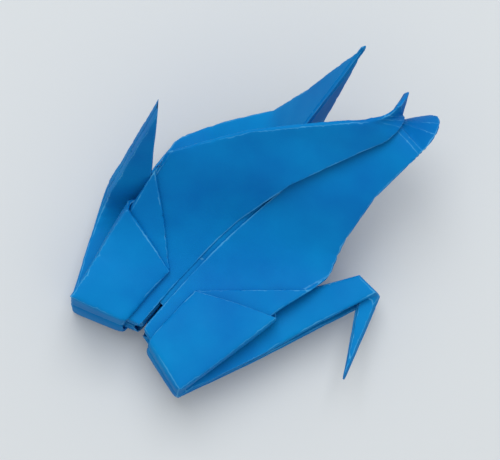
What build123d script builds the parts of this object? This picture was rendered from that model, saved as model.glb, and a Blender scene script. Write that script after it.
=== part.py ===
from build123d import *

import cmath
import os
from dataclasses import dataclass, field, replace
from itertools import product
from math import cos, pi, radians, sin, sqrt, tan

import numpy as np

# A paper crane folded from one square sheet, lying on its side. The sheet is one closed solid: every
# panel between two creases is a plate of paper, the plates are stacked in their folded order, and a
# narrow wall of paper joins each pair at their crease. Lengths are millimetres, angles are degrees.

# The sheet
PAPER_SIDE = 38.1
PAPER_THICKNESS = 0.09
LAYER_AIR = 0.05

# The folds, measured on the flat-folded bird base, whose leg tips lie at 0 and wing tips at PAPER_SIDE
NARROWING_ANGLE = 12.3
BODY_FOLD = 17.3
NECK_RISE = 55.1
TAIL_RISE = 54.1
BEAK_LENGTH = 5.85
HEAD_TURN = 116.0

# The near wing bends up along a slanting line, folds to a trough, turns and curls its tip under
NEAR_BEND_START = 19.2
NEAR_BEND_SWEEP = 36.0
NEAR_WING_LIFT = 45.9
NEAR_FOLD_START = 26.0
NEAR_FOLD_LENGTH = 9.5
NEAR_WING_FOLD = 31.0
NEAR_WING_ROLL = 0.0
NEAR_WING_TURN = -15.0
NEAR_GAPE = 0.9
NEAR_FLAP_OPENING = 16.0
FLAP_OPENING_START = 25.0
FLAP_OPENING_LENGTH = 6.0
TIP_CURL_START = 34.2
TIP_CURL_LENGTH = 0.9
TIP_CURL = 125.0
TIP_NOTCH = 1.1

# The far wing, which the crane lies on, bends the same way and folds to a ridge
FAR_BEND_START = 20.3
FAR_BEND_SWEEP = 9.8
FAR_WING_LIFT = 49.3
FAR_FOLD_START = 22.0
FAR_FOLD_LENGTH = 9.0
FAR_WING_FOLD = 71.0
FAR_WING_ROLL = 6.0
FAR_WING_TURN = 3.0
WING_BEND_LENGTH = 4.6

# The neck and the tail lean towards the near side, the tail much more
NECK_BEND_START = 6.0
NECK_BEND_LENGTH = 3.0
NECK_LEAN = 13.3
TAIL_BEND_START = 4.5
TAIL_BEND_LENGTH = 3.0
TAIL_LEAN = 75.6
TAIL_SPLAY = 0.9
TIP_PRESS = 0.75
SLIT_WIDTH = 0.24

# The attitude that the crane is dropped in, before it settles
DROP_YAW = 2.0
DROP_PITCH = -2.0
HEADING = -40.4

# How finely the bent panels are divided
WING_BANDS = 4
WING_SHARES = (0.2, 0.4, 0.6, 0.8)
LEG_BANDS = 4
CURL_BANDS = 9

# How the layers stack, and how they spread where the body stands open
PITCH = PAPER_THICKNESS + LAYER_AIR
FOLD_SETBACK = PITCH / 2
RAW_SETBACK = SLIT_WIDTH / 2
ROOM = 4.0
ROOM_TAPER = 0.08 * PAPER_SIDE
WING_LAYER = 2.5
WING_HEIGHT = (WING_LAYER + ROOM) * PITCH
SPLAY_TOP = 20.2
SPLAY_REACH = BODY_FOLD * tan(radians(NARROWING_ANGLE))
GAPE_START = 18.2
GAPE_RISE = 4.5
GAPE_TOP = 24.5
GAPE_FALL = 7.0
NECK_SPREAD_START = 0.15
NECK_SPREAD_SHARE = 0.6

# How far a corner of the middle surface moves outwards for the paper's two faces, in half thicknesses
MITER_LEAST = 0.05
MITER_LIMIT = 1.6
FLAT_ENOUGH = 0.15

# How small polygons are cut to triangles: how much an ear's roundness counts, and a corner inside it
ROUND_EAR = 0.2
BLOCKED_EAR = 4.0

# How near two lengths or two corners are the same
SAME = 1e-6
TINY = 1e-12
SHEET_DECIMALS = 4
PLACE_GAP = 0.001
SETTLE_STEPS = 40

HALF_DIAGONAL = PAPER_SIDE / sqrt(2)
KNEE = PAPER_SIDE * (sqrt(2) - 1) / 2
HALF_CORNER = tan(pi / 8)

NEAR, FAR = 1, -1
NECK, TAIL, BOTH = 1, -1, 0
BENDS = {
    NEAR: (NEAR_BEND_START, NEAR_BEND_SWEEP, NEAR_WING_LIFT),
    FAR: (FAR_BEND_START, FAR_BEND_SWEEP, FAR_WING_LIFT),
}
WING_FOLDS = {
    NEAR: (NEAR_FOLD_START, NEAR_FOLD_LENGTH, NEAR_WING_FOLD, NEAR_WING_ROLL, NEAR_WING_TURN),
    FAR: (FAR_FOLD_START, FAR_FOLD_LENGTH, FAR_WING_FOLD, FAR_WING_ROLL, FAR_WING_TURN),
}
LEANS = {
    "neck": (NECK_BEND_START, NECK_BEND_LENGTH, NECK_LEAN),
    "tail": (TAIL_BEND_START, TAIL_BEND_LENGTH, TAIL_LEAN),
}

# The unfolded sheet: its centre, wing corners, leg corners and the knees between them
SHEET = {
    "O": 0,
    "W+": HALF_DIAGONAL * 1j,
    "W-": -HALF_DIAGONAL * 1j,
    "L+": HALF_DIAGONAL,
    "L-": -HALF_DIAGONAL,
    "P++": KNEE * (1 + 1j),
    "P-+": KNEE * (-1 + 1j),
    "P--": KNEE * (-1 - 1j),
    "P+-": KNEE * (1 - 1j),
}


@dataclass
class Panel:
    """One flat stretch of the sheet: its corners on the sheet and as folded, and its place in the stack.

    setbacks holds, for the edge that starts at each corner, how far the paper stops short of the
    crease: a pair of values, at the leg's tip and at the body.
    """

    family: str
    side: int
    hand: int
    sheet: list
    flat: list
    setbacks: list
    layer: float = 0.0
    region: str = "body"
    corners: list = field(default_factory=list)


def folded_point(name):
    """Where a point of the sheet lies in the flat-folded bird base."""
    return {
        "O": HALF_DIAGONAL * 1j,
        "W": PAPER_SIDE * 1j,
        "L": 0,
        "P": (KNEE if name[1:2] == "+" else -KNEE) + PAPER_SIDE / 2 * 1j,
    }[name[0]]


def edge_setback(a, b):
    """Raw edges and the spine both lie on the centre line, so each keeps its own clearance there."""
    ends = {a[0], b[0]}
    return (RAW_SETBACK, RAW_SETBACK) if ends == {"W", "L"} else (FOLD_SETBACK, FOLD_SETBACK)


def bird_base():
    """The twelve panels of the bird base: on each side a wing, a chest, two sleeves and two gussets."""
    panels = []
    for side, s in ((NEAR, "+"), (FAR, "-")):
        wing, right, left = "W" + s, "P+" + s, "P-" + s
        outlines = [("A", BOTH, (wing, left, right)), ("C", BOTH, ("O", right, left))]
        for hand, knee, leg in ((NECK, right, "L+"), (TAIL, left, "L-")):
            outlines += [("S", hand, (wing, knee, leg)), ("G", hand, ("O", leg, knee))]
        for family, hand, names in outlines:
            sheet = [complex(SHEET[n]) for n in names]
            if signed_area(sheet) < 0:
                names, sheet = names[::-1], sheet[::-1]
            flat = [complex(folded_point(n)) for n in names]
            setbacks = [edge_setback(a, b) for a, b in zip(names, names[1:] + names[:1])]
            panels.append(Panel(family, side, hand, sheet, flat, setbacks))
    return panels


def signed_area(points):
    return sum((a.conjugate() * b).imag for a, b in zip(points, points[1:] + points[:1])) / 2


def cut(panel, point, direction, setback):
    """Part a panel along a line of the folded plane: the piece on the line's left, and the other."""
    heights = [((z - point) * direction.conjugate()).imag for z in panel.flat]
    heights = [0.0 if abs(h) < SAME else h for h in heights]
    pieces = []
    for sign in (1, -1):
        sheet, flat, setbacks = [], [], []
        count = len(heights)
        for k in range(count):
            n = (k + 1) % count
            here, there = sign * heights[k], sign * heights[n]
            if here >= 0:
                leaves = here == 0 and there < 0
                sheet.append(panel.sheet[k])
                flat.append(panel.flat[k])
                setbacks.append(setback if leaves else panel.setbacks[k])
            if here * there < 0:
                share = here / (here - there)
                sheet.append(panel.sheet[k] + share * (panel.sheet[n] - panel.sheet[k]))
                flat.append(panel.flat[k] + share * (panel.flat[n] - panel.flat[k]))
                setbacks.append(setback if here > 0 else panel.setbacks[k])
        whole = len(flat) > 2 and abs(signed_area(flat)) > SAME
        pieces.append(replace(panel, sheet=sheet, flat=flat, setbacks=setbacks) if whole else None)
    return pieces


def mirrored(panel, point, direction):
    """A panel turned over about a line of the folded plane."""
    flat = [point + direction * direction * (z - point).conjugate() for z in panel.flat]
    return replace(panel, flat=flat)


def narrow_legs(panels):
    """Fold the outer strips of the near and far halves outwards, to the centre line."""
    main_layer = {"G": 0.5, "C": 1.5, "A": 2.5, "S": 3.5}
    strip_layer = {"S": 4.5, "A": 5.5, "C": 6.5, "G": 7.5}
    creep = {"S": (1, 3), "A": (2, 2), "C": (1, 1), "G": (0, 0)}
    folded = []
    for panel in panels:
        setback = tuple(FOLD_SETBACK + level * PITCH for level in creep[panel.family])
        main = panel
        for hand in (NECK, TAIL):
            if panel.hand == -hand:
                continue
            line = cmath.rect(1, pi / 2 - hand * radians(NARROWING_ANGLE))
            left, right = cut(main, 0, line, setback)
            main, strip = (left, right) if hand == NECK else (right, left)
            strip = mirrored(strip, 0, line)
            folded.append(replace(strip, hand=hand, layer=strip_layer[panel.family], region="strip"))
        folded.append(replace(main, layer=main_layer[panel.family]))
    return folded


def divide(panels, chosen, points, direction):
    """Divide the chosen panels by parallel lines with no fold, so that they can bend there."""
    for point in points:
        divided = []
        for panel in panels:
            if chosen(panel):
                divided += [piece for piece in cut(panel, point, direction, (0, 0)) if piece]
            else:
                divided.append(panel)
        panels = divided
    return panels


def sheet_key(z):
    return (round(z.real, SHEET_DECIMALS), round(z.imag, SHEET_DECIMALS))


def shared_corners(panels):
    """Give each panel the corners that its neighbours have on an edge that they share."""
    exact = {sheet_key(z): z for panel in panels for z in panel.sheet}
    keys, places = list(exact), np.array(list(exact.values()))
    joined = []
    for panel in panels:
        sheet, flat, setbacks = [], [], []
        for k, here in enumerate(panel.sheet):
            n = (k + 1) % len(panel.sheet)
            step, flat_step = panel.sheet[n] - here, panel.flat[n] - panel.flat[k]
            shares = (places - here) / step
            on_edge = (abs(shares.imag * step) < SAME) & (shares.real > 0) & (shares.real < 1)
            ends = (sheet_key(here), sheet_key(panel.sheet[n]))
            stops = [float(shares.real[m]) for m in np.flatnonzero(on_edge) if keys[m] not in ends]
            for share in [0.0] + sorted(stops):
                sheet.append(here + share * step)
                flat.append(panel.flat[k] + share * flat_step)
                setbacks.append(panel.setbacks[k])
        joined.append(replace(panel, sheet=sheet, flat=flat, setbacks=setbacks))
    return joined


def reverse_fold(panels, chosen, point, direction, tip_on_left, region, layers):
    """Turn a leg's end inside out between its own halves.

    layers lists the families and kinds of panel in the order that they stack in the turned end,
    from its middle outwards.
    """
    folded = []
    for panel in panels:
        if not chosen(panel):
            folded.append(panel)
            continue
        kind = panel.region.split()[-1]
        place = layers.index((panel.family, kind))
        setback = (FOLD_SETBACK + place * PITCH,) * 2
        left, right = cut(panel, point, direction, setback)
        tip, root = (left, right) if tip_on_left else (right, left)
        if root:
            folded.append(root)
        if tip:
            tip = mirrored(tip, point, direction)
            folded.append(replace(tip, layer=place + 0.5, region=region + " " + kind))
    return folded


def leg_line(hand, rise):
    """The direction that a leg points in after its reverse fold."""
    angle = radians(rise)
    return cmath.rect(1, angle if hand == NECK else pi - angle)


ROOT = BODY_FOLD * 1j
NECK_LINE = leg_line(NECK, NECK_RISE)
TAIL_LINE = leg_line(TAIL, TAIL_RISE)
HEAD_START = BODY_FOLD - BEAK_LENGTH
HEAD_POINT = ROOT + HEAD_START * NECK_LINE
HEAD_LINE = cmath.rect(1, radians(NECK_RISE - HEAD_TURN / 2))
OUTSIDE_IN = [("G", "strip"), ("S", "strip"), ("S", "body"), ("G", "body")]


def wing_rows(side):
    """Points that the lines across a wing pass through: close in its bend, and wide beyond it."""
    start, sweep, _ = BENDS[side]
    outer = PAPER_SIDE - start - WING_BEND_LENGTH
    steps = [WING_BEND_LENGTH * k / WING_BANDS for k in range(WING_BANDS + 1)]
    steps += [WING_BEND_LENGTH + outer * share for share in WING_SHARES]
    line = cmath.rect(1, radians(sweep))
    return [start * 1j + step * 1j * line for step in steps], line


def curl_rows():
    """Points of the lines across the near wing's tip, where it curls."""
    first, length = TIP_CURL_START - TIP_NOTCH, TIP_NOTCH + TIP_CURL_LENGTH
    return [(first + length * k / CURL_BANDS) * 1j for k in range(CURL_BANDS + 1)]


def is_neck(panel):
    return panel.region.startswith("neck")


def is_tail(panel):
    return panel.region.startswith("tail")


def is_neck_leg(panel):
    return panel.hand == NECK and panel.family in "SG"


def is_tail_leg(panel):
    return panel.hand == TAIL and panel.family in "SG"


def reverse_crease(hand, rise):
    return cmath.rect(1, hand * radians(rise - 90) / 2)


def fold_crane():
    """The whole folding, from the bird base to the head."""
    panels = narrow_legs(bird_base())
    for side in (NEAR, FAR):
        rows, line = wing_rows(side)
        panels = divide(panels, lambda panel, side=side: panel.side == side, rows, line)
    panels = divide(panels, lambda panel: panel.side == NEAR, curl_rows(), 1)
    panels = divide(panels, lambda panel: panel.hand == BOTH, [0], 1j)
    neck_crease, tail_crease = reverse_crease(NECK, NECK_RISE), reverse_crease(TAIL, TAIL_RISE)
    panels = reverse_fold(panels, is_neck_leg, ROOT, neck_crease, False, "neck", OUTSIDE_IN)
    panels = reverse_fold(panels, is_tail_leg, ROOT, tail_crease, False, "tail", OUTSIDE_IN)
    panels = reverse_fold(panels, is_neck, HEAD_POINT, HEAD_LINE, True, "head", OUTSIDE_IN[::-1])
    for name, line, chosen in (("tail", TAIL_LINE, is_tail), ("neck", NECK_LINE, is_neck)):
        start, length, _ = LEANS[name]
        steps = [start + length * k / LEG_BANDS for k in range(LEG_BANDS + 1)]
        panels = divide(panels, chosen, [ROOT + step * line for step in steps], line * 1j)
    return shared_corners(panels)


def leg_share(sheet_point):
    """0 at a leg's tip on the sheet and 1 from the body fold on."""
    distance = min(abs(sheet_point - SHEET["L+"]), abs(sheet_point - SHEET["L-"]))
    return min(1.0, distance / BODY_FOLD)


def set_back(panel, k):
    """A panel's corner, moved off its two creases into the panel."""
    here = panel.flat[k]
    before, after = here - panel.flat[k - 1], panel.flat[(k + 1) % len(panel.flat)] - here
    turn = 1j if signed_area(panel.flat) > 0 else -1j
    normals = [turn * before / abs(before), turn * after / abs(after)]
    share = leg_share(panel.sheet[k])
    depths = [tip + (body - tip) * share for tip, body in (panel.setbacks[k - 1], panel.setbacks[k])]
    matrix = np.array([[n.real, n.imag] for n in normals])
    if abs(np.linalg.det(matrix)) < SAME:
        return here + normals[0] * max(depths)
    shift = np.linalg.solve(matrix, np.array(depths))
    return here + complex(*shift)


def smooth_step(x):
    x = min(1.0, max(0.0, x))
    return x * x * (3 - 2 * x)


def bend(distance, start, length, angle):
    """A line that bends through an angle between start and start + length: along, up and slope."""
    if distance <= start:
        return distance, 0.0, 0.0
    radius = length / radians(angle) if angle else 0.0
    turned = min(1.0, (distance - start) / length) * radians(angle)
    along, up = (radius * sin(turned), radius * (1 - cos(turned))) if angle else (distance - start, 0.0)
    rest = max(0.0, distance - start - length)
    return start + along + rest * cos(turned), up + rest * sin(turned), turned


def bent(side, spot, height):
    """A point of the stack after a wing's bend. height counts from the middle of that wing's layers."""
    start, sweep, angle = BENDS[side]
    line = cmath.rect(1, radians(sweep))
    offset = (spot - start * 1j) / line
    along, up, slope = bend(offset.imag, 0.0, WING_BEND_LENGTH, angle)
    flat = start * 1j + line * complex(offset.real, along - height * sin(slope))
    return np.array([flat.real, flat.imag, side * WING_HEIGHT + up + height * cos(slope)])


def wing_point(side, spot, over):
    """A point of the stack of layers on one wing's side, after the wing has folded, rolled and bent.

    over counts from the middle of that wing's layers, outwards from the body.
    """
    x, y = spot.real, spot.imag
    out = -1 if x < 0 else 1
    fold_start, fold_length, fold, roll, turn = WING_FOLDS[side]
    beyond = max(0.0, y - fold_start)
    grown = smooth_step(beyond / fold_length)
    fold = radians(fold + out * roll) * grown
    over += splay(side, x, y)
    height = side * (abs(x) * sin(fold) + over * cos(fold))
    x = x * cos(fold) - out * over * sin(fold) - tan(radians(turn)) * beyond * grown
    if side == NEAR:
        inwards = max(0.0, 1 - abs(spot.real) / ((PAPER_SIDE - y) * HALF_CORNER))
        y, down, slope = bend(y, TIP_CURL_START - TIP_NOTCH * inwards, TIP_CURL_LENGTH, TIP_CURL)
        y, height = y + height * sin(slope), height * cos(slope) - down
    return bent(side, complex(x, y), height)


def opened_body(panel, spot):
    """The two wings with the layers folded onto them, and the walls of the body between them."""
    side, x, y = panel.side, spot.real, spot.imag
    if panel.family in "GC" and panel.region == "body":
        room = ROOM * min(1.0, max(0.0, (HALF_DIAGONAL - y) / ROOM_TAPER))
        share = (1 + side * (panel.layer + room) / (WING_LAYER + ROOM)) / 2
        return share * wing_point(NEAR, spot, 0.0) + (1 - share) * wing_point(FAR, spot, 0.0)
    over = (panel.layer - WING_LAYER) * PITCH
    if (panel.family, panel.region, side, panel.hand) == ("S", "body", NEAR, TAIL):
        from_fold = max(0.0, (PAPER_SIDE - y) * HALF_CORNER - abs(x))
        opened_share = smooth_step((y - FLAP_OPENING_START) / FLAP_OPENING_LENGTH)
        over += from_fold * sin(radians(NEAR_FLAP_OPENING) * opened_share)
    return wing_point(side, spot, over)


def splay(side, x, y):
    """How far a wall of the body has spread: both walls at the tail, and the near one over the neck."""
    down = smooth_step((SPLAY_TOP - y) / (SPLAY_TOP - BODY_FOLD))
    spread = TAIL_SPLAY * down * min(1.0, max(0.0, -x / SPLAY_REACH))
    if side == NEAR and x > 0:
        up = smooth_step((y - GAPE_START) / GAPE_RISE) * (1 - smooth_step((y - GAPE_TOP) / GAPE_FALL))
        spread += NEAR_GAPE * up * min(1.0, x / SPLAY_REACH)
    return spread


def opened_leg(panel, spot, sheet_point):
    """The neck, the head and the tail, whose layers lie closer towards the tips."""
    name = "tail" if is_tail(panel) else "neck"
    line = TAIL_LINE if name == "tail" else NECK_LINE
    offset = (spot - ROOT) / line
    along, across = offset.real, offset.imag
    press = 1 - (1 - TIP_PRESS) * (1 - leg_share(sheet_point))
    room = 0.0
    if is_neck(panel):
        room = ROOM * smooth_step((along / HEAD_START - NECK_SPREAD_START) / NECK_SPREAD_SHARE)
    height = panel.side * (panel.layer * press + room) * PITCH
    start, length, lean = LEANS[name]
    moved, up, slope = bend(along, start, length, lean)
    flat = ROOT + complex(moved - height * sin(slope), across) * line
    return np.array([flat.real, flat.imag, up + height * cos(slope)])


def opened(panel, spot, sheet_point):
    """Where a point of a panel lies in space: X to the neck's side, Y from body to wings, Z near."""
    if panel.region in ("body", "strip"):
        return opened_body(panel, spot)
    return opened_leg(panel, spot, sheet_point)


def number_of(place, points, cells):
    """The number of a point in space, which places closer together than PLACE_GAP share."""
    cell = tuple(int(v) for v in np.floor(place / PLACE_GAP))
    for step in product((-1, 0, 1), repeat=3):
        for number in cells.get(tuple(c + s for c, s in zip(cell, step)), []):
            if np.linalg.norm(points[number] - place) < PLACE_GAP:
                return number
    cells.setdefault(cell, []).append(len(points))
    points.append(place)
    return len(points) - 1


def place_corners(panels):
    """Give every panel its corners in space, and number the distinct points."""
    points, cells = [], {}
    for panel in panels:
        places = [opened(panel, set_back(panel, k), panel.sheet[k]) for k in range(len(panel.flat))]
        panel.corners = [number_of(place, points, cells) for place in places]
    return points


def without_repeats(loop):
    kept = [v for k, v in enumerate(loop) if v != loop[k - 1]]
    return kept if len(set(kept)) > 2 else []


def middle_surface(panels):
    """The sheet's middle surface: the panels, a wall along each crease and a cap at each crossing."""
    edges = {}
    for index, panel in enumerate(panels):
        keys = [sheet_key(z) for z in panel.sheet]
        for k in range(len(keys)):
            edges[keys[k], keys[(k + 1) % len(keys)]] = (index, k)
    loops = [without_repeats(panel.corners) for panel in panels]
    for (a, b), (index, k) in edges.items():
        if a > b or (b, a) not in edges:
            continue
        one, other = panels[index], panels[edges[b, a][0]]
        m = edges[b, a][1]
        a1, b1 = one.corners[k], one.corners[(k + 1) % len(one.corners)]
        b2, a2 = other.corners[m], other.corners[(m + 1) % len(other.corners)]
        loops.append(without_repeats([b1, a1, a2, b2]))
    starts = {}
    for (a, b), place in edges.items():
        starts.setdefault(a, []).append((b, place))
    for vertex, spokes in starts.items():
        if any((b, vertex) not in edges for b, _ in spokes):
            continue
        ring, (b, (index, k)) = [], spokes[0]
        for _ in spokes:
            panel = panels[index]
            ring.append(panel.corners[k])
            previous = sheet_key(panel.sheet[k - 1])
            index, k = edges[vertex, previous]
        loops.append(without_repeats(ring))
    return [loop for loop in loops if loop]


def triangles_of(loop, points):
    """Triangles of a small polygon, cut at its flattest ears first."""
    loop = list(loop)
    total = newell([points[v] for v in loop])
    triangles = []
    while len(loop) > 3:
        best, best_score = None, None
        for k in range(len(loop)):
            a, b, c = (points[loop[k - 1]], points[loop[k]], points[loop[(k + 1) % len(loop)]])
            normal = np.cross(b - a, c - b)
            size = np.linalg.norm(normal)
            score = float(normal @ total) / (size * np.linalg.norm(total) + TINY)
            score += ROUND_EAR * size / (np.dot(c - a, c - a) + np.dot(b - a, b - a) + np.dot(c - b, c - b))
            others = [points[v] for v in loop if v not in (loop[k - 1], loop[k], loop[(k + 1) % len(loop)])]
            if any(inside(p, a, b, c, normal) for p in others):
                score -= BLOCKED_EAR
            if best is None or score > best_score:
                best, best_score = k, score
        triangles.append([loop[best - 1], loop[best], loop[(best + 1) % len(loop)]])
        loop.pop(best)
    triangles.append(loop)
    return triangles


def inside(p, a, b, c, normal):
    return all(float(np.cross(v - u, p - u) @ normal) > -TINY for u, v in ((a, b), (b, c), (c, a)))


def newell(loop):
    total = np.zeros(3)
    for a, b in zip(loop, loop[1:] + loop[:1]):
        total += np.cross(a, b)
    return total


def thicken(points, triangles):
    """Both faces of the paper, half a thickness off its middle, and its raw edge all round."""
    normals, sizes = [[] for _ in points], [[] for _ in points]
    for triangle in triangles:
        a, b, c = (points[v] for v in triangle)
        normal = np.cross(b - a, c - a)
        size = np.linalg.norm(normal)
        if size < TINY:
            continue
        for v in triangle:
            normals[v].append(normal / size)
            sizes[v].append(size)
    half = PAPER_THICKNESS / 2
    shifts = []
    for vertex_normals, vertex_sizes in zip(normals, sizes):
        rows = np.array(vertex_normals)
        shift = np.linalg.lstsq(rows, np.full(len(rows), half), rcond=FLAT_ENOUGH)[0]
        if np.linalg.norm(shift) < MITER_LEAST * half:
            shift = half * rows[int(np.argmax(vertex_sizes))]
        length = np.linalg.norm(shift)
        shifts.append(shift * min(1.0, MITER_LIMIT * half / length))
    count = len(points)
    both = [p + s for p, s in zip(points, shifts)] + [p - s for p, s in zip(points, shifts)]
    faces = [list(t) for t in triangles] + [[v + count for v in t[::-1]] for t in triangles]
    directed = {(t[k], t[(k + 1) % 3]) for t in triangles for k in range(3)}
    for a, b in sorted(directed):
        if (b, a) not in directed:
            faces += [[b, a, a + count], [b, a + count, b + count]]
    return both, faces


def settle(points, weight):
    """Let the crane come to rest: it tips over its lowest points until its weight lies inside them."""
    points = np.array(points)
    contacts = [int(np.argmin(points[:, 2]))]
    axis = np.array([0.0, 1.0, 0.0])
    for _ in range(SETTLE_STEPS):
        pivot = points[contacts[0]]
        if len(contacts) == 1:
            lever = weight - pivot
            axis = np.cross([0, 0, 1.0], [lever[0], lever[1], 0])
        else:
            axis = points[contacts[1]] - pivot
            axis[2] = 0
            if np.cross(axis, weight - pivot)[2] > 0:
                axis = -axis
        axis /= np.linalg.norm(axis)
        across = np.cross(axis, [0, 0, 1.0])
        levers = points - pivot
        out, up = levers @ across, levers[:, 2]
        angles = np.where(out > SAME, np.arctan2(up, out), np.inf)
        angles[contacts] = np.inf
        touching = int(np.argmin(angles))
        angle = angles[touching]
        turn = rotation(axis, angle)
        points = (points - pivot) @ turn.T + pivot
        weight = turn @ (weight - pivot) + pivot
        contacts.append(touching)
        if len(contacts) == 3:
            a, b, c = (points[k][:2] for k in contacts)
            if signed_turn(a, b, c) < 0:
                contacts[1], contacts[2] = contacts[2], contacts[1]
            for k in range(3):
                u, v = points[contacts[k]][:2], points[contacts[(k + 1) % 3]][:2]
                if signed_turn(u, v, weight[:2]) < 0:
                    contacts = [contacts[k], contacts[(k + 1) % 3]]
                    break
            else:
                return points, contacts
    return points, contacts


def signed_turn(a, b, c):
    return (b[0] - a[0]) * (c[1] - a[1]) - (b[1] - a[1]) * (c[0] - a[0])


def rotation(axis, angle):
    x, y, z = axis
    k = np.array([[0, -z, y], [z, 0, -x], [-y, x, 0]])
    return np.eye(3) + sin(angle) * k + (1 - cos(angle)) * (k @ k)


def dropped(points):
    """Turn the crane from its own axes to the attitude that it lands in."""
    yaw = rotation((0, 1, 0), radians(DROP_YAW))
    pitch = rotation((1, 0, 0), radians(DROP_PITCH))
    heading = rotation((0, 0, 1), radians(HEADING))
    return np.array(points) @ (heading @ pitch @ yaw).T


def weight_point(points, triangles):
    """The middle of the paper's area, which is the crane's centre of mass."""
    total, size = np.zeros(3), 0.0
    for triangle in triangles:
        a, b, c = (points[v] for v in triangle)
        area = np.linalg.norm(np.cross(b - a, c - a)) / 2
        total += area * (a + b + c) / 3
        size += area
    return total / size


def crane_mesh():
    panels = fold_crane()
    points = place_corners(panels)
    triangles = [t for loop in middle_surface(panels) for t in triangles_of(loop, points)]
    points, faces = thicken(points, triangles)
    points = dropped(points)
    points, contacts = settle(points, weight_point(points, faces))
    low, high = points.min(axis=0), points.max(axis=0)
    centre = (low + high) / 2
    points = points - [centre[0], centre[1], low[2]]
    return points, faces, contacts


def solid_of(points, faces):
    """Sew the facets to one closed solid."""
    facets = [Face(Wire.make_polygon([tuple(map(float, points[v])) for v in face])) for face in faces]
    return Solid(Shell(facets))


def main():
    os.makedirs("parts", exist_ok=True)
    points, faces, contacts = crane_mesh()
    crane = solid_of(points, faces)
    print("facets", len(faces), "volume", round(crane.volume, 2), "size", crane.bounding_box().size)
    print("rests on", [tuple(round(float(v), 2) for v in points[k]) for k in contacts])
    crane.label = "folded_sheet"
    export_step(crane, "parts/folded_sheet.step")


if __name__ == "__main__":
    main()
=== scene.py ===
from math import radians

import bmesh
import bpy
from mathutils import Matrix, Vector, noise


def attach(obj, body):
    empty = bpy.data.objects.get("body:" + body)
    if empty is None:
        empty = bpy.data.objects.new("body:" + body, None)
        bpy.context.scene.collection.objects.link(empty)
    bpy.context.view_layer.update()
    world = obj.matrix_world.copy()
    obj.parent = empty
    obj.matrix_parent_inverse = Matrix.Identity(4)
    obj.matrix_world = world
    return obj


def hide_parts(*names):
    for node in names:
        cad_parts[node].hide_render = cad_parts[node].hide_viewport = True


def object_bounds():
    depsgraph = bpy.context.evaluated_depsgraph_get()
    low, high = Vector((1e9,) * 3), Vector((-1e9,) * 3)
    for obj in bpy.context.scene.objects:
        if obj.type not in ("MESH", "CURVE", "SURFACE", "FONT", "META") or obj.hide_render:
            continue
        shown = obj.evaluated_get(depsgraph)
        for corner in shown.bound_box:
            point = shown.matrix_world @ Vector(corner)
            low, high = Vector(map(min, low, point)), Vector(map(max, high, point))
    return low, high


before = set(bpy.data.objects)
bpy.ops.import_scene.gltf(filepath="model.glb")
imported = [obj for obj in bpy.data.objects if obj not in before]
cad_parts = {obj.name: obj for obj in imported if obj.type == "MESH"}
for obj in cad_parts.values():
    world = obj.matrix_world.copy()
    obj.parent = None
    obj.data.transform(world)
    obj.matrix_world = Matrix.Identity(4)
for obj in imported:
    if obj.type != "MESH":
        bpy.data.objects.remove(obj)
cad_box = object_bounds()

# Folded sheet. One square of thin paper, dyed blue on both faces and folded by hand into a crane. The flat
# plates of the folding frame are divided finely here, so that the paper bends in round curves, bows and
# crumples a little between its folds, and has the soft, rubbed folds of paper that was pressed by fingers.
MM = 0.001
MERGE_DISTANCE = 0.0005 * MM
PAPER_MESH_SIZE = 0.6 * MM
FOLD_MESH_SIZE = 0.235 * MM
DIVIDING_PASSES = 7
FOLD_ANGLE = radians(48)
RAW_EDGE_WIDTH = 0.15 * MM
SMOOTHING_SHARE = 0.5
BEND_ROUNDING = 8
FOLD_ROUNDING = 3
RAW_EDGE_ROUNDING = 1
BODY_END_LINE = -9.6 * MM
BODY_END_ROUNDING = 5
HARD_EDGE_ANGLE = radians(42)

sheet_mesh = bmesh.new()
sheet_mesh.from_mesh(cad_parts["folded_sheet"].data)
bmesh.ops.remove_doubles(sheet_mesh, verts=sheet_mesh.verts, dist=MERGE_DISTANCE)

# The raw edges are the faces all round the sheet that are narrower than RAW_EDGE_WIDTH, measured across
# their longest side. They are rounded least, so that they stay nearly as sharp and straight as cut.
raw_edge = sheet_mesh.faces.layers.int.new("raw_edge")
for face in sheet_mesh.faces:
    longest = max(edge.calc_length() for edge in face.edges)
    face[raw_edge] = 2 * face.calc_area() < RAW_EDGE_WIDTH * longest


def folds_of(mesh):
    """The edges that the paper turns sharply at: both sides of each fold, and the raw edges."""
    return [edge for edge in mesh.edges if edge.calc_face_angle(0.0) > FOLD_ANGLE]


def divide_paper(mesh, size, near_folds_only):
    """Divide the edges over size in a few passes, all over the sheet or only beside its folds."""
    for _ in range(DIVIDING_PASSES):
        at_folds = {vertex for edge in folds_of(mesh) for vertex in edge.verts}
        long_edges = [
            edge
            for edge in mesh.edges
            if edge.calc_length() > size and (not near_folds_only or at_folds.intersection(edge.verts))
        ]
        if not long_edges:
            break
        bmesh.ops.subdivide_edges(mesh, edges=long_edges, cuts=1)
        bmesh.ops.triangulate(mesh, faces=mesh.faces)


def round_paper(mesh, vertices, rounds):
    """Draw these vertices toward their neighbours, so that the paper turns in a rounder curve there."""
    for _ in range(rounds):
        bmesh.ops.smooth_vert(
            mesh,
            verts=vertices,
            factor=SMOOTHING_SHARE,
            use_axis_x=True,
            use_axis_y=True,
            use_axis_z=True,
        )


divide_paper(sheet_mesh, PAPER_MESH_SIZE, False)
divide_paper(sheet_mesh, FOLD_MESH_SIZE, True)

# Paler along the outside of the folds and along the raw edges: partly where the dye is rubbed, partly a
# painted highlight where light catches these edges
wear_and_highlight = sheet_mesh.verts.layers.float.new("wear_and_highlight")
folds = folds_of(sheet_mesh)
at_folds = {vertex for edge in folds for vertex in edge.verts}
for edge in folds:
    if edge.is_convex:
        for vertex in edge.verts:
            vertex[wear_and_highlight] = 1.0

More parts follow.
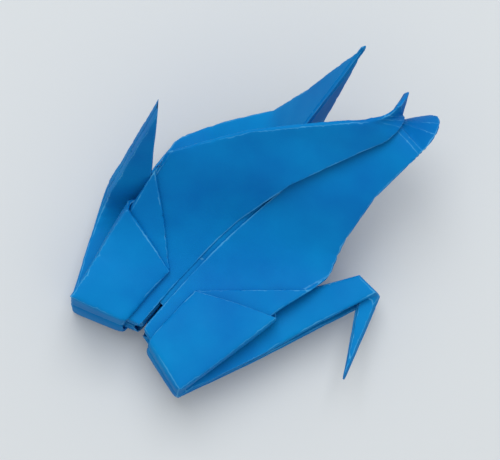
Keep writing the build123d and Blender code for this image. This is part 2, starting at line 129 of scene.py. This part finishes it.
# The bends between folds are the roundest, then the folds, and then the raw edges
at_raw_edges = {vertex for face in sheet_mesh.faces if face[raw_edge] for vertex in face.verts}
bent_paper = [vertex for vertex in sheet_mesh.verts if vertex not in at_raw_edges]
between_folds = [vertex for vertex in bent_paper if vertex not in at_folds]
round_paper(sheet_mesh, between_folds, BEND_ROUNDING)
round_paper(sheet_mesh, bent_paper, FOLD_ROUNDING)
round_paper(sheet_mesh, sheet_mesh.verts, RAW_EDGE_ROUNDING)

# The body's two ends face -X -Y, and the paper goes round them in wide, soft bends
body_ends = [vertex for vertex in bent_paper if vertex.co.x + vertex.co.y < BODY_END_LINE]
round_paper(sheet_mesh, body_ends, BODY_END_ROUNDING)

# Each buckle is a wavelength, a depth and a seed. The crumple is a small dent field in one place.
BUCKLES = [(5.2 * MM, 0.25 * MM, 3), (2.1 * MM, 0.1 * MM, 11), (0.9 * MM, 0.02 * MM, 7)]
BUCKLE_SHARES = Vector((0.25, 0.25, 1))
BUCKLE_SEED = 1
CRUMPLE_CENTRE = Vector((-3.0, -4.8, 0)) * MM
CRUMPLE_REACH = 1.8 * MM
CRUMPLE_SIZE = 1.1 * MM
CRUMPLE_DEPTH = 0.1 * MM


def buckle(place):
    """How far the paper has moved from its flat plates. It depends on the place alone, not on the layer."""
    shift = Vector()
    for wavelength, depth, seed in BUCKLES:
        shift += depth * noise.noise_vector(place / wavelength + Vector((seed, seed, seed))) * BUCKLE_SHARES
    crumple = max(0.0, 1 - (place.xy - CRUMPLE_CENTRE.xy).length / CRUMPLE_REACH)
    shift += CRUMPLE_DEPTH * crumple * noise.noise_vector(place / CRUMPLE_SIZE)
    return shift


# Without a seed, this noise differs from run to run
noise.seed_set(BUCKLE_SEED)

# No vertex leaves the box that the frame takes up
box_low, box_high = (Vector(corner) for corner in cad_box)
for vertex in sheet_mesh.verts:
    moved = vertex.co + buckle(vertex.co)
    vertex.co = [min(max(at, low), high) for at, low, high in zip(moved, box_low, box_high)]
for edge in sheet_mesh.edges:
    edge.smooth = edge.calc_face_angle(0.0) < HARD_EDGE_ANGLE
for face in sheet_mesh.faces:
    face.smooth = True

paper_data = bpy.data.meshes.new("crane_paper")
sheet_mesh.to_mesh(paper_data)
sheet_mesh.free()
crane_paper = bpy.data.objects.new("crane_paper", paper_data)
bpy.context.collection.objects.link(crane_paper)

# Colours are from 0 to 255. Texture scales are in repeats per metre.
DISPLAY_GAMMA = 2.2
DEEP_DYE = (0, 108, 182)
THIN_DYE = (0, 128, 196)
# Pale colour of the folds and raw edges: partly rubbed dye, partly a painted highlight
WEAR_AND_HIGHLIGHT_COLOUR = (96, 180, 226)
DEEP_DYE_BELOW, THIN_DYE_ABOVE = 0.3, 0.7
CLOUD_SCALE, CLOUD_DETAIL = 260, 5
SPECK_SCALE, SPECK_DETAIL = 900, 5
FIBRE_SCALE, FIBRE_DETAIL = 7000, 3
WEAR_AND_HIGHLIGHT_STARTS, WEAR_AND_HIGHLIGHT_FULL, WEAR_AND_HIGHLIGHT_MOST = 0.32, 0.62, 0.6
FIBRE_RELIEF_STRENGTH = 0.3
FIBRE_RELIEF_HEIGHT = 0.02 * MM
LEAST_ROUGHNESS, MOST_ROUGHNESS = 0.55, 0.75
PAPER_SHEEN = 0.08


def srgb(red, green, blue):
    """A colour from 0 to 255, as a picture editor shows it, in the linear values that a shader takes."""
    return tuple((value / 255) ** DISPLAY_GAMMA for value in (red, green, blue)) + (1.0,)


def noise_texture(material, scale, detail):
    """A noise texture on Object coordinates, so that it keeps its size and place on the paper."""
    nodes, links = material.node_tree.nodes, material.node_tree.links
    texture = nodes.new("ShaderNodeTexNoise")
    texture.inputs["Scale"].default_value = scale
    texture.inputs["Detail"].default_value = detail
    place = nodes.new("ShaderNodeTexCoord")
    links.new(place.outputs["Object"], texture.inputs["Vector"])
    return texture


def dyed_paper():
    """Thin paper dyed blue: matt, cloudy where the dye took unevenly, and paler along the folds and raw
    edges, partly rubbed dye and partly a painted highlight.
    """
    material = bpy.data.materials.new("dyed_paper")
    material.use_nodes = True
    nodes, links = material.node_tree.nodes, material.node_tree.links
    shader = nodes["Principled BSDF"]
    clouds = noise_texture(material, CLOUD_SCALE, CLOUD_DETAIL)
    specks = noise_texture(material, SPECK_SCALE, SPECK_DETAIL)
    fibres = noise_texture(material, FIBRE_SCALE, FIBRE_DETAIL)

    dye = nodes.new("ShaderNodeValToRGB")
    dye.color_ramp.elements[0].position = DEEP_DYE_BELOW
    dye.color_ramp.elements[0].color = srgb(*DEEP_DYE)
    dye.color_ramp.elements[1].position = THIN_DYE_ABOVE
    dye.color_ramp.elements[1].color = srgb(*THIN_DYE)
    links.new(clouds.outputs["Fac"], dye.inputs["Fac"])

    wear_and_highlight_attribute = nodes.new("ShaderNodeAttribute")
    wear_and_highlight_attribute.attribute_name = "wear_and_highlight"
    broken_wear_and_highlight = nodes.new("ShaderNodeMath")
    broken_wear_and_highlight.operation = "MULTIPLY"
    links.new(wear_and_highlight_attribute.outputs["Fac"], broken_wear_and_highlight.inputs[0])
    links.new(specks.outputs["Fac"], broken_wear_and_highlight.inputs[1])
    wear_and_highlight_strength = nodes.new("ShaderNodeMapRange")
    wear_and_highlight_strength.inputs["From Min"].default_value = WEAR_AND_HIGHLIGHT_STARTS
    wear_and_highlight_strength.inputs["From Max"].default_value = WEAR_AND_HIGHLIGHT_FULL
    wear_and_highlight_strength.inputs["To Max"].default_value = WEAR_AND_HIGHLIGHT_MOST
    links.new(broken_wear_and_highlight.outputs["Value"], wear_and_highlight_strength.inputs["Value"])

    # Paler along the convex folds and raw edges: partly rubbed dye, partly a painted highlight
    dye_with_wear_and_highlight = nodes.new("ShaderNodeMix")
    dye_with_wear_and_highlight.data_type = "RGBA"
    dye_with_wear_and_highlight.inputs["B"].default_value = srgb(*WEAR_AND_HIGHLIGHT_COLOUR)
    links.new(wear_and_highlight_strength.outputs["Result"], dye_with_wear_and_highlight.inputs["Factor"])
    links.new(dye.outputs["Color"], dye_with_wear_and_highlight.inputs["A"])
    links.new(dye_with_wear_and_highlight.outputs["Result"], shader.inputs["Base Color"])

    gloss = nodes.new("ShaderNodeMapRange")
    gloss.inputs["To Min"].default_value = LEAST_ROUGHNESS
    gloss.inputs["To Max"].default_value = MOST_ROUGHNESS
    links.new(specks.outputs["Fac"], gloss.inputs["Value"])
    links.new(gloss.outputs["Result"], shader.inputs["Roughness"])
    shader.inputs["Specular IOR Level"].default_value = PAPER_SHEEN

    relief = nodes.new("ShaderNodeBump")
    relief.inputs["Strength"].default_value = FIBRE_RELIEF_STRENGTH
    relief.inputs["Distance"].default_value = FIBRE_RELIEF_HEIGHT
    links.new(fibres.outputs["Fac"], relief.inputs["Height"])
    links.new(relief.outputs["Normal"], shader.inputs["Normal"])
    return material


crane_paper.data.materials.append(dyed_paper())
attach(crane_paper, "root")
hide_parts("folded_sheet")

# Ground. A plain pale matt card under the crane, which takes its soft shadow.
GROUND_SIZE = 2.0
CARD_COLOUR = (209, 214, 218)
CARD_ROUGHNESS = 0.9
ground_mesh = bmesh.new()
bmesh.ops.create_grid(ground_mesh, x_segments=1, y_segments=1, size=GROUND_SIZE / 2)
ground_data = bpy.data.meshes.new("ground")
ground_mesh.to_mesh(ground_data)
ground_mesh.free()
ground = bpy.data.objects.new("ground", ground_data)
bpy.context.collection.objects.link(ground)
card = bpy.data.materials.new("pale_card")
card.use_nodes = True
card_shader = card.node_tree.nodes["Principled BSDF"]
card_shader.inputs["Base Color"].default_value = srgb(*CARD_COLOUR)
card_shader.inputs["Roughness"].default_value = CARD_ROUGHNESS
ground.data.materials.append(card)

# Light. One soft square lamp above the crane, toward the top of the picture, and the pale room round it.
LAMP_SIZE = 0.2
LAMP_PLACE = Vector((0.01, 0.15, 0.29))
LAMP_POWER = 0.62
ROOM_COLOUR = (255, 255, 253)
ROOM_STRENGTH = 0.63
lamp_data = bpy.data.lights.new("lamp", "AREA")
lamp_data.size = LAMP_SIZE
lamp_data.energy = LAMP_POWER
lamp = bpy.data.objects.new("lamp", lamp_data)
lamp.location = LAMP_PLACE
lamp.rotation_euler = (-LAMP_PLACE).to_track_quat("-Z", "Y").to_euler()
bpy.context.collection.objects.link(lamp)
world = bpy.data.worlds.new("room")
world.use_nodes = True
background = world.node_tree.nodes["Background"]
background.inputs["Color"].default_value = srgb(*ROOM_COLOUR)
background.inputs["Strength"].default_value = ROOM_STRENGTH
bpy.context.scene.world = world

# Camera. Straight above the crane, as the photograph looks down on it.
CAMERA_LENS = 180
CAMERA_HEIGHT = 0.125
CAMERA_CLIP_START = 0.005
camera_data = bpy.data.cameras.new("camera")
camera_data.lens = CAMERA_LENS
camera_data.clip_start = CAMERA_CLIP_START
camera = bpy.data.objects.new("camera", camera_data)
camera.location = (0, 0, CAMERA_HEIGHT)
bpy.context.collection.objects.link(camera)
bpy.context.scene.camera = camera
bpy.context.scene.view_settings.view_transform = "Standard"
